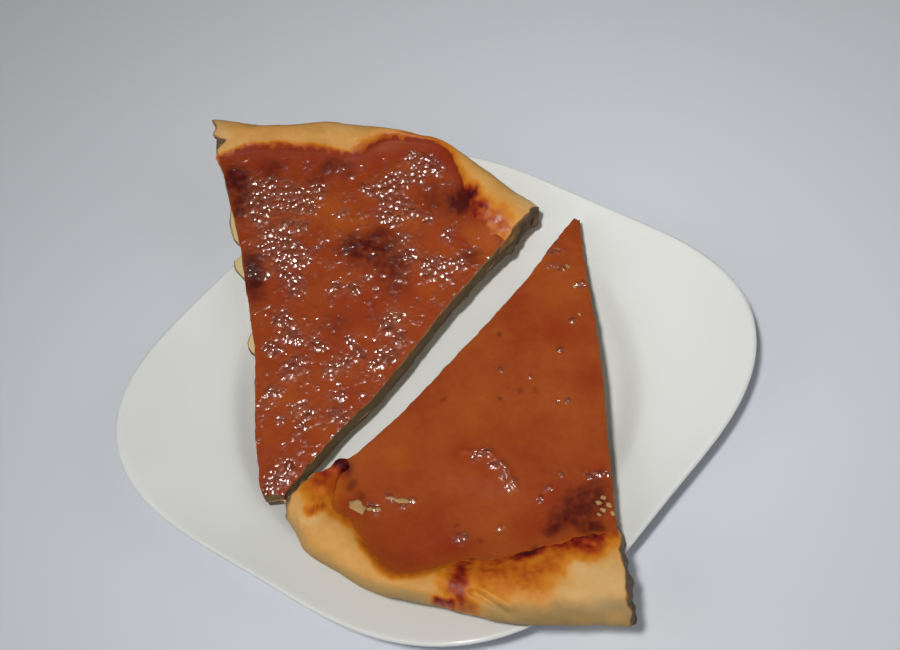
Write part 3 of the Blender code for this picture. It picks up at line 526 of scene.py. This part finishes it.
def makeShell(name, cut, node):
    k = shellSettings
    seed = cut["seed"]
    bm = unitBlock(k["across"], k["out"], k["layers"])
    unit = placesIn(bm)
    v, s, w = 2 * unit[:, 0] - 1, unit[:, 1], unit[:, 2]
    lowR, lowZ = shellBottom(cut, v, s)
    topR, topZ = shellTop(cut, v, s)
    r, z = lowR + (topR - lowR) * w, lowZ + (topZ - lowZ) * w

    # how far the cuts run out: torn pieces, the foot's flare, the folded ear and rough lumps
    reach = np.where(v > 0.5, along(cut["torn"], r), 0)
    reach += np.where(v > 0.5, cut["flare"] * (1 - w) * smoothStep(*k["flareOver"], r), 0)
    if cut["ear"]:
        ear = np.where(v < -0.5, along(cut["ear"], r), 0)
        reach += ear - cut["earRound"] * np.abs(2 * w - 1) * np.minimum(1, ear / k["earEase"])
    spot = np.stack([r, v * k["acrossMm"], z], 1)
    rim = smoothStep(*k["roughFade"], s)
    for number, (size, depth, deeper) in enumerate(k["rough"], 1):
        reach += wobble(spot, size, seed + number) * (depth + deeper * rim)
    reach -= k["pullIn"] * (1 - smoothStep(*k["pullFade"], r - rimSizes(cut, v)[0]))
    cut["seat"] = 0.0
    drop = intoPlace(cut, r, v, z, reach)[:, 2].min()
    cut["seat"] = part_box(node)[0][2] * 1000 - drop
    shell = toObject(name, bm, intoPlace(cut, r, v, z, reach), 1)

    points, normals = pointsOf(shell), normalsOf(shell)
    r, v, h = outOfPlace(cut, points)[:3]
    lip, crest = rimSizes(cut, v)[:2]
    faces = cutFaces(cut, points, normals)
    past = r - lip
    onRim = smoothStep(*k["rimFade"], past)
    # crags of the rim, fine blisters, folds, and flaky layers on the cut and broken faces
    move = lumps(points, k["crags"], seed) * onRim
    move += lumps(points, k["blisters"], seed + 3) * (k["blisterLeast"] + (1 - k["blisterLeast"]) * onRim)
    layered = np.stack([points[:, 0] / k["flakeMm"], points[:, 1] / k["flakeMm"], h / k["flakeThick"]], 1)
    move += lumps(layered, k["flakes"], seed + 4) * faces
    move -= np.maximum(0, lumps(points, k["pits"], seed + 5) - k["pitsFrom"]) * faces
    move += foldHeight(points, cut["folds"]) * smoothStep(*k["foldFade"], h) * (1 - k["foldCut"] * faces)
    # juice that soaked in: painted places, and a line along the lip
    seen = wander(points)
    soak = k["stain"] * painted(seen, cut["juice"], False, k["softness"], cut["juiceSpread"])
    broad, small = k["lipWaves"]
    edge = lumps(points * [1, 1, 0.3], broad, 8.0) + lumps(points, small, 9.0)
    fromLip = (past - k["lipShift"]) / cut["juiceEdge"] + edge
    soak = np.maximum(soak, between(cut["lipTone"], v) * (1 - smoothStep(*k["lineFade"], fromLip)))
    soak *= 1 + lumps(points, k["uneven"], 4.0)
    soak *= smoothStep(*k["stainFade"], h) * (1 - k["stainCut"] * faces)
    move += smoothStep(*k["rippleFade"], soak) * lumps(points, k["filmRipple"], seed + 6)
    setPoints(shell, points + normals * move[:, None])

    side = np.sqrt(normals[:, 0] ** 2 + normals[:, 1] ** 2)
    blanched = painted(seen, cut["blanched"], False, k["blanchedEdge"])
    mark(shell, "soak", soak)
    gloss = cut["filmGloss"] * smoothStep(*k["glossTone"], soak) * smoothStep(*k["glossFade"], past)
    mark(shell, "gloss", gloss)
    # painted shade: the outside of the rim is coloured darker where it faces sideways, away from the light from
    # above
    outerWallShade = smoothStep(*k["sideShadeFade"], side) * smoothStep(*k["outerShadeFade"], r - crest)
    mark(shell, "outerWallShade", outerWallShade * (1 - faces))
    # painted shade: the olive strokes darken the outside of the rim where it lies in shade
    mark(shell, "oliveShade", painted(seen, cut["oliveShade"], False) * (1 - faces))
    # the cut faces: the broken pastry's colour, darkened and greyed as painted shade
    mark(shell, "crumbShade", faces)
    mark(shell, "pale", np.maximum(blanched, 1 - smoothStep(*k["paleFade"], past)) * (1 - faces))
    return shell


def makeCustard(name, cut):
    k = custardSettings
    seed = cut["seed"]
    bm = unitBlock(k["across"], k["out"], k["layers"], True)
    unit = placesIn(bm)
    v, s, w = 2 * unit[:, 0] - 1, unit[:, 1], unit[:, 2]
    lowR, lowZ = shellTop(cut, v, s * shellSettings["wallTo"])
    topR, topZ = custardTop(cut, v, s)
    lowZ = np.minimum(lowZ, topZ - k["thinnest"])
    r, z = lowR + (topR - lowR) * w, lowZ + (topZ - lowZ) * w
    spot = np.stack([r, v * shellSettings["acrossMm"], z], 1)
    reach = np.full_like(r, -k["inset"])
    for number, size in enumerate(k["edges"], 11):
        reach += lumps(spot, size, seed + number)
    if cut["ear"]:
        reach += np.where(v < -0.5, k["earShare"] * along(cut["ear"], r), 0)
    custard = toObject(name, bm, intoPlace(cut, r, v, z, reach), 2)

    points, normals = pointsOf(custard), normalsOf(custard)
    r, v = outOfPlace(cut, points)[:2]
    lip = rimSizes(cut, v)[0]
    faces = cutFaces(cut, points, normals)
    skin = smoothStep(*k["skinFade"], normals[:, 2])
    flat = points * [1, 1, 0]
    away = smoothStep(*k["awayFade"], lip - r)
    seen = wander(points)
    clumps = smoothStep(*k["clumpFade"], wobble(flat, k["clumpMm"], seed + 18))
    wet = painted(seen, cut["wet"], spread=cut["wetSpread"]) * skin * (k["dry"] + (1 - k["dry"]) * clumps)
    # the skin: slow waves, beads where it glitters and a faint grain elsewhere, with open pores on the cuts
    move = lumps(flat, k["slowWaves"], seed + 13) * skin * away + foldHeight(points, cut["ridges"]) * skin
    bead = beads(flat + lumps(flat, k["beadPush"], 4.0)[:, None], k["beadMm"], k["beadReach"], seed)
    move += wet * (k["bead"] * (bead - 0.5) + lumps(flat, k["wetWaves"], seed + 14))
    move += cut["grainy"] * lumps(flat, k["grain"], seed + 15) * skin * away
    move -= np.maximum(0, lumps(points, k["pores"], seed + 16) - k["poresFrom"]) * faces
    move += lumps(points, k["cutWaves"], seed + 17) * faces
    setPoints(custard, points + normals * move[:, None])

    fromEdge = np.maximum(0, lip + k["lap"] - r)
    band = np.exp(-fromEdge / k["bandMm"]) * cut["redBand"] * smoothStep(*k["bandFade"], v)
    glow = np.exp(-np.maximum(0, fromEdge - k["glowFrom"]) / k["glowMm"]) * cut["amberEdge"]
    stray = smoothStep(*k["strayFade"], wobble(flat, k["strayMm"], seed + 19)) * skin * k["stray"] * cut["grainy"]
    broad, small = k["mottle"]
    mottle = np.clip(1 + lumps(flat, broad, seed + 20) + lumps(flat, small, seed + 21), *k["mottleLimits"])
    burnt = painted(seen, cut["dark"], hardness=k["burntEdge"], spread=cut["burntSpread"]) * mottle
    red, amber = [painted(seen, cut[colour], hardness=k["stainEdge"]) for colour in ("red", "amber")]
    mark(custard, "wet", np.maximum(wet, stray) * smoothStep(*k["wetFade"], lip - r))
    mark(custard, "dark", np.maximum(burnt, k["bandDark"] * band) * (1 - faces))
    mark(custard, "red", np.maximum(np.maximum(red, band), cut["ruddy"]) * (1 - faces))
    mark(custard, "amber", np.maximum(amber, glow) * (1 - faces))
    # the cut faces: the custard's inside colour, darkened and greyed as painted shade
    mark(custard, "crumbShade", faces)
    return custard


print("shaping the pastry")
shellA = makeShell("pastryA", sliceA, "slice_a_crust")
shellB = makeShell("pastryB", sliceB, "slice_b_crust")
print("shaping the custard")
custardA = makeCustard("custardA", sliceA)
custardB = makeCustard("custardB", sliceB)


# plate
plateSettings = {
    "steps": 192, "turn": -1.6, "shoulder": 75.0, "rim": 98.0, "squareness": 0.067,
    "stretchX": 1.0835, "stretchY": 0.923, "lift": 2.6, "liftEase": 1.5, "between": 3, "weldMm": 0.005,
    # half the plate's section: distance from the middle and height, over the top and back along the foot
    "section": [
        (0, 6.0), (30, 6.0), (54, 6.2), (60, 6.8), (65, 8.6), (69, 11.3), (72, 13.3), (75, 14.4), (82, 15.6),
        (90, 17.2), (96.0, 18.75), (97.3, 18.8), (98, 18.0), (97.7, 17.0), (96.4, 16.2), (90, 13.9), (80, 11.7),
        (74, 10.4), (70, 8.2), (66, 5.4), (61, 3.0), (57.5, 1.6), (56.2, 0.5), (55.5, 0), (51.5, 0), (50.6, 0.6),
        (49.5, 1.5), (46, 1.8), (20, 1.8), (0, 1.8),
    ],
}


def makePlate():
    k = plateSettings
    corners = np.array(k["section"], float)
    count = (len(corners) - 1) * k["between"] + 1
    places = np.linspace(-1, 1, count)
    line = np.maximum(np.stack([between(corners[:, 0], places), between(corners[:, 1], places)], 1), 0)
    bm = bmesh.new()
    verts = [bm.verts.new((r, 0, z)) for r, z in line]
    edges = [bm.edges.new(pair) for pair in zip(verts, verts[1:])]
    bmesh.ops.spin(bm, geom=verts + edges, axis=(0, 0, 1), cent=(0, 0, 0), angle=math.tau, steps=k["steps"],
                   use_merge=True)
    bmesh.ops.remove_doubles(bm, verts=bm.verts, dist=k["weldMm"])
    for vert in bm.verts:
        radius = vert.co.xy.length
        if radius <= k["shoulder"]:
            continue
        angle = math.atan2(vert.co.y, vert.co.x)
        share = (radius - k["shoulder"]) / (k["rim"] - k["shoulder"])
        reach = k["rim"] * (1 + k["squareness"] * math.cos(4 * angle))
        rim = Vector((k["stretchX"] * reach * math.cos(angle), k["stretchY"] * reach * math.sin(angle)))
        drawn = (vert.co.xy * (k["shoulder"] / radius)).lerp(rim, share)
        corner = (0.5 + 0.5 * math.cos(4 * angle)) ** 2
        vert.co = (drawn.x, drawn.y, vert.co.z + k["lift"] * corner * share ** k["liftEase"])
    bmesh.ops.rotate(bm, verts=bm.verts, cent=(0, 0, 0), matrix=Matrix.Rotation(math.radians(k["turn"]), 3, "Z"))
    plate = toObject("plateGlazed", bm, placesIn(bm))
    return plate


print("turning the plate")
plate = makePlate()


# crumbs: a broken flake of pastry on the front slice and the bits round the cuts
crumbSettings = {
    # lumps for the size of a piece, what it sticks out past its ends and stands up, and its tones: pale pastry, and
    # the cut faces' colour, which is darkened as painted shade
    "coarse": (2.5, 0.4), "fine": (6.0, 0.2), "overhang": 0.5, "stand": 0.2, "tones": {"pale": 0.3, "crumbShade": 0.45},
    # both ends, width and thickness in mm
    "crumbs": [
        (-33.8, -45.8, -31.0, -49.2, 4.2, 1.2), (-29.4, -48.7, -27.8, -49.2, 1.2, 0.6),
        (-26.5, -49.4, -25.2, -49.9, 1.3, 0.6), (-22.5, -46.1, -19.8, -47.2, 1.0, 0.6),
        (-19.6, -47.6, -15.7, -49.1, 1.7, 0.7), (43.2, -62.9, 44.4, -63.6, 1.3, 1.0),
        (45.2, -61.6, 46.2, -62.2, 1.3, 1.0), (46.4, -64.2, 47.2, -65.4, 1.4, 1.0),
        (44.0, -65.6, 45.2, -66.4, 1.3, 1.0), (47.0, -67.4, 47.4, -68.4, 1.3, 1.0),
        (42.6, -67.0, 43.4, -67.6, 1.0, 0.8), (54.5, 29.5, 55.4, 28.4, 1.1, 0.9),
        (55.2, 20.4, 55.6, 19.2, 1.2, 0.9), (54.2, 8.4, 54.6, 7.6, 0.9, 0.7),
    ],
}


def heightOn(cut, x, y):
    # the top of the custard there
    point = np.array([[x, y, 0.0]])
    r, v = outOfPlace(cut, point)[:2]
    lip = rimSizes(cut, v)[0]
    share = (r - cut["tip"]) / (lip + custardSettings["lap"] - cut["tip"])
    z = custardTop(cut, v, share)[1]
    return float((z + rest(cut, point[:, 0], point[:, 1]))[0] + cut["seat"])


def makeCrumbs():
    k = crumbSettings
    bm = bmesh.new()
    for number, (x0, y0, x1, y1, width, thick) in enumerate(k["crumbs"], 1):
        x, y = (x0 + x1) / 2, (y0 + y1) / 2
        length = math.hypot(x1 - x0, y1 - y0) + width * k["overhang"]
        made = bmesh.ops.create_icosphere(bm, subdivisions=3, radius=0.5)["verts"]
        for vert in made:
            lump = noise.noise(vert.co * k["coarse"][0] + Vector((number * 9.1, 0, 0))) * k["coarse"][1]
            lump += noise.noise(vert.co * k["fine"][0] + Vector((0, number * 4.3, 0))) * k["fine"][1]
            vert.co *= 1 + lump
        bmesh.ops.scale(bm, verts=made, vec=(length, width, thick))
        turn = Matrix.Rotation(math.atan2(y1 - y0, x1 - x0), 3, "Z")
        bmesh.ops.rotate(bm, verts=made, cent=(0, 0, 0), matrix=turn)
        bmesh.ops.translate(bm, verts=made, vec=(x, y, heightOn(sliceB, x, y) + thick * k["stand"]))
    crumbs = toObject("looseCrumbs", bm, placesIn(bm))
    for tone, amount in k["tones"].items():
        mark(crumbs, tone, np.full(len(crumbs.data.vertices), amount))
    return crumbs


print("scattering crumbs")
crumbs = makeCrumbs()


# baked pumpkin custard: a dark, wet, wrinkled skin over a dense paste, which gives small sharp glints
def bakedCustard():
    m = newMaterial("bakedPumpkinCustard")
    shader = m.node_tree.nodes["Principled BSDF"]
    place = addNode(m, "ShaderNodeTexCoord").outputs["Object"]
    dark, red, amber, wet, crumbShade = [
        addNode(m, "ShaderNodeAttribute", {"attribute_name": name}).outputs["Fac"]
        for name in ("dark", "red", "amber", "wet", "crumbShade")]
    broad = addNode(m, "ShaderNodeTexNoise", {"Scale": perMetre(24), "Detail": 3.0}, {"Vector": place})
    fine = addNode(m, "ShaderNodeTexNoise", {"Scale": perMetre(3.5), "Detail": 4.0, "Roughness": 0.6},
                   {"Vector": place})
    tone = addNode(m, "ShaderNodeMix", {"data_type": "FLOAT", 0: 0.35},
                   {2: broad.outputs["Fac"], 3: fine.outputs["Fac"]})
    base = addNode(m, "ShaderNodeValToRGB", links={"Fac": tone.outputs[0]},
                   stops=[(0.36, "893817"), (0.50, "93431a"), (0.64, "9b4c1e")])
    colour = base.outputs["Color"]
    # amber, red and burnt stains, then the cut faces' colour, which is darkened as painted shade
    for mask, code in ((amber, "ae5c1a"), (red, "872614"), (dark, "4c1410"), (crumbShade, "7f6746")):
        layer = addNode(m, "ShaderNodeMix", {"data_type": "RGBA", 7: linear(code)}, {0: mask, 6: colour})
        colour = layer.outputs[2]
    m.node_tree.links.new(colour, shader.inputs["Base Color"])

    # the wet skin dried into beads of 2.2 mm, each of which gives one dot of light
    bead = addNode(m, "ShaderNodeTexVoronoi", {"Scale": perMetre(2.2), "Randomness": 1.0}, {"Vector": place})
    dome = addNode(m, "ShaderNodeMath", {"operation": "POWER", 1: 2.0}, {0: bead.outputs["Distance"]})
    grain = addNode(m, "ShaderNodeTexNoise", {"Scale": perMetre(3.6), "Detail": 1.0}, {"Vector": place})
    height = addNode(m, "ShaderNodeMath", {"operation": "SUBTRACT"},
                     {0: grain.outputs["Fac"], 1: dome.outputs[0]})
    amount = addNode(m, "ShaderNodeMapRange", {2: 0.7, 3: 0.02, 4: 1.0}, {0: wet})
    lift = addNode(m, "ShaderNodeMath", {"operation": "MULTIPLY"},
                   {0: height.outputs[0], 1: amount.outputs[0]})
    bump = addNode(m, "ShaderNodeBump", {"Strength": 1.0, "Distance": 0.0015}, {"Height": lift.outputs[0]})
    m.node_tree.links.new(bump.outputs["Normal"], shader.inputs["Normal"])
    m.node_tree.links.new(bump.outputs["Normal"], shader.inputs["Coat Normal"])
    rough = addNode(m, "ShaderNodeMapRange", {3: 0.5, 4: 0.75}, {0: crumbShade})
    m.node_tree.links.new(rough.outputs[0], shader.inputs["Roughness"])
    glossy = addNode(m, "ShaderNodeMapRange", {1: 0.05, 2: 0.5, 3: 0.0, 4: 1.0}, {0: wet})
    coat = addNode(m, "ShaderNodeMix", {"data_type": "FLOAT", 3: 0.0}, {0: crumbShade, 2: glossy.outputs[0]})
    m.node_tree.links.new(coat.outputs[0], shader.inputs["Coat Weight"])
    for key, value in (("Coat Roughness", 0.26), ("Coat IOR", 3.2), ("IOR", 1.36), ("Specular IOR Level", 0.25),
                       ("Subsurface Weight", 0.12), ("Subsurface Radius", (1.0, 0.35, 0.12)),
                       ("Subsurface Scale", 0.0025)):
        shader.inputs[key].default_value = value
    return m


# shortcrust pastry, rolled and baked: dry and satin, golden where it stood up, stained by the filling, with painted
# shade on its outer wall and cut faces
def bakedPastry():
    m = newMaterial("bakedShortcrust")
    shader = m.node_tree.nodes["Principled BSDF"]
    place = addNode(m, "ShaderNodeTexCoord").outputs["Object"]
    soak, outerWallShade, crumbShade, pale, oliveShade, gloss = [
        addNode(m, "ShaderNodeAttribute", {"attribute_name": name}).outputs["Fac"]
        for name in ("soak", "outerWallShade", "crumbShade", "pale", "oliveShade", "gloss")]
    broad = addNode(m, "ShaderNodeTexNoise", {"Scale": perMetre(17), "Detail": 3.0}, {"Vector": place})
    fine = addNode(m, "ShaderNodeTexNoise", {"Scale": perMetre(2.2), "Detail": 4.0, "Roughness": 0.65},
                   {"Vector": place})
    tone = addNode(m, "ShaderNodeMix", {"data_type": "FLOAT", 0: 0.3},
                   {2: broad.outputs["Fac"], 3: fine.outputs["Fac"]})
    base = addNode(m, "ShaderNodeValToRGB", links={"Fac": tone.outputs[0]},
                   stops=[(0.33, "bd8a46"), (0.50, "c99550"), (0.68, "d4a462")])
    colour = base.outputs["Color"]
    # painted shade on the outer wall and in the olive strokes, pale hardly baked pastry, and the cut faces' colour
    # darkened as painted shade
    for mask, code in ((outerWallShade, "b8935a"), (oliveShade, "957c50"), (pale, "d3bd90"), (crumbShade, "65523f")):
        layer = addNode(m, "ShaderNodeMix", {"data_type": "RGBA", 7: linear(code)}, {0: mask, 6: colour})
        colour = layer.outputs[2]
    stain = addNode(m, "ShaderNodeValToRGB", links={"Fac": soak},
                    stops=[(0.10, "cb8d3c"), (0.28, "c2761a"), (0.45, "b05c12"),
                           (0.62, "98380e"), (0.80, "741a0c"), (0.97, "3a0c12")])
    amount = addNode(m, "ShaderNodeMapRange", {1: 0.03, 2: 0.20}, {0: soak})
    soaked = addNode(m, "ShaderNodeMix", {"data_type": "RGBA"},
                     {0: amount.outputs[0], 6: colour, 7: stain.outputs["Color"]})
    m.node_tree.links.new(soaked.outputs[2], shader.inputs["Base Color"])

    # blisters of 1.6 mm, with the finer grain of the flour in their detail
    blister = addNode(m, "ShaderNodeTexNoise", {"Scale": perMetre(1.6), "Detail": 5.0, "Roughness": 0.6},
                      {"Vector": place})
    bump = addNode(m, "ShaderNodeBump", {"Strength": 0.4, "Distance": 0.0004}, {"Height": blister.outputs["Fac"]})
    m.node_tree.links.new(bump.outputs["Normal"], shader.inputs["Normal"])
    rough = addNode(m, "ShaderNodeMapRange", {3: 0.58, 4: 0.40}, {0: soak})
    m.node_tree.links.new(rough.outputs[0], shader.inputs["Roughness"])
    m.node_tree.links.new(gloss, shader.inputs["Coat Weight"])
    for key, value in (("Coat Roughness", 0.3), ("IOR", 1.4), ("Specular IOR Level", 0.35),
                       ("Subsurface Weight", 0.1), ("Subsurface Radius", (1.0, 0.6, 0.3)),
                       ("Subsurface Scale", 0.0015)):
        shader.inputs[key].default_value = value
    return m


# glazed porcelain: a clear smooth glaze over white clay, so soft shading with one clean highlight
def glazedPorcelain():
    m = newMaterial("glazedPorcelain")
    shader = m.node_tree.nodes["Principled BSDF"]
    place = addNode(m, "ShaderNodeTexCoord").outputs["Object"]
    cloud = addNode(m, "ShaderNodeTexNoise", {"Scale": perMetre(60), "Detail": 2.0}, {"Vector": place})
    base = addNode(m, "ShaderNodeValToRGB", links={"Fac": cloud.outputs["Fac"]},
                   stops=[(0.35, "d9dddf"), (0.65, "dfe3e5")])
    m.node_tree.links.new(base.outputs["Color"], shader.inputs["Base Color"])
    ripple = addNode(m, "ShaderNodeTexNoise", {"Scale": perMetre(9), "Detail": 1.0}, {"Vector": place})
    bump = addNode(m, "ShaderNodeBump", {"Strength": 0.05, "Distance": 0.001}, {"Height": ripple.outputs["Fac"]})
    m.node_tree.links.new(bump.outputs["Normal"], shader.inputs["Normal"])
    shader.inputs["Roughness"].default_value = 0.16
    shader.inputs["IOR"].default_value = 1.5
    return m


print("mixing materials")
custardFinish, pastryFinish, glaze = bakedCustard(), bakedPastry(), glazedPorcelain()
for piece, finish, node, slotName in (
        (plate, glaze, "plate", "white_porcelain"),
        (shellA, pastryFinish, "slice_a_crust", "baked_pastry"),
        (shellB, pastryFinish, "slice_b_crust", "baked_pastry"),
        (custardA, custardFinish, "slice_a_filling", "pumpkin_custard"),
        (custardB, custardFinish, "slice_b_filling", "pumpkin_custard"),
        (crumbs, pastryFinish, None, "baked_pastry")):
    piece.data.materials.append(finish)
    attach(piece, "root")
    if node:
        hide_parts(node)


# floor, light and camera
stageSettings = {
    "floor": "d0d6e1", "floorRough": 0.8, "floorHalf": 4.0, "sky": (1.0, 0.97, 0.93, 1.0), "skyStrength": 0.08,
    # name, place, aim, colour, power, size, spread
    "lamps": [
        ("keyLight", (-0.075, -0.21, 0.66), (0.06, 0.05, 0.0), (1.0, 0.965, 0.90), 0.67, 0.055, 80),
        ("leftFill", (-0.80, -0.25, 0.70), (0.0, 0.0, 0.0), (1.0, 0.965, 0.92), 2.5, 0.8, 180),
        ("rightFill", (0.80, -0.10, 0.70), (0.0, 0.0, 0.0), (1.0, 0.965, 0.92), 1.9, 0.8, 180),
    ],
}
viewSettings = {
    "lens": 52.0, "near": 0.01, "elevation": 60.0, "roll": -12.142, "fromMiddle": (9.419, -213.88, 421.689),
}


def makeStage():
    k = stageSettings
    bm = bmesh.new()
    bmesh.ops.create_grid(bm, x_segments=1, y_segments=1, size=k["floorHalf"])
    mesh = bpy.data.meshes.new("paleFloor")
    bm.to_mesh(mesh)
    bm.free()
    floor = bpy.data.objects.new("paleFloor", mesh)
    bpy.context.scene.collection.objects.link(floor)
    paint = newMaterial("paleFloor")
    shader = paint.node_tree.nodes["Principled BSDF"]
    shader.inputs["Base Color"].default_value = linear(k["floor"])
    shader.inputs["Roughness"].default_value = k["floorRough"]
    mesh.materials.append(paint)
    world = bpy.data.worlds.new("softRoom")
    world.use_nodes = True
    world.node_tree.nodes["Background"].inputs["Color"].default_value = k["sky"]
    world.node_tree.nodes["Background"].inputs["Strength"].default_value = k["skyStrength"]
    bpy.context.scene.world = world
    bpy.context.scene.view_settings.view_transform = "Standard"
    centre = Vector(middle / 1000)
    for name, place, aim, colour, power, size, spread in k["lamps"]:
        lamp = bpy.data.lights.new(name, "AREA")
        lamp.energy, lamp.color, lamp.size, lamp.spread = power, colour, size, math.radians(spread)
        holder = bpy.data.objects.new(name, lamp)
        holder.location = centre + Vector(place)
        holder.rotation_euler = (Vector(place) - Vector(aim)).to_track_quat("Z", "Y").to_euler()
        holder.visible_glossy = name == "keyLight"  # only this one glints on the wet skin
        bpy.context.scene.collection.objects.link(holder)


def makeCamera():
    k = viewSettings
    tip, roll = math.radians(k["elevation"]), math.radians(k["roll"])
    back = Vector((0, -math.cos(tip), math.sin(tip)))
    right = Vector((1, 0, 0))
    up = back.cross(right)
    across = math.cos(roll) * right + math.sin(roll) * up
    rise = -math.sin(roll) * right + math.cos(roll) * up
    turn = Matrix((across, rise, back)).transposed().to_4x4()
    lens = bpy.data.cameras.new("photoCamera")
    lens.lens = k["lens"]
    lens.clip_start = k["near"]
    camera = bpy.data.objects.new("photoCamera", lens)
    camera.matrix_world = Matrix.Translation((Vector(k["fromMiddle"]) + Vector(middle)) / 1000) @ turn
    bpy.context.scene.collection.objects.link(camera)
    bpy.context.scene.camera = camera


print("setting the stage")
makeStage()
makeCamera()

for piece in (plate, shellA, shellB, custardA, custardB, crumbs):
    print(piece.name, len(piece.data.polygons), "faces")
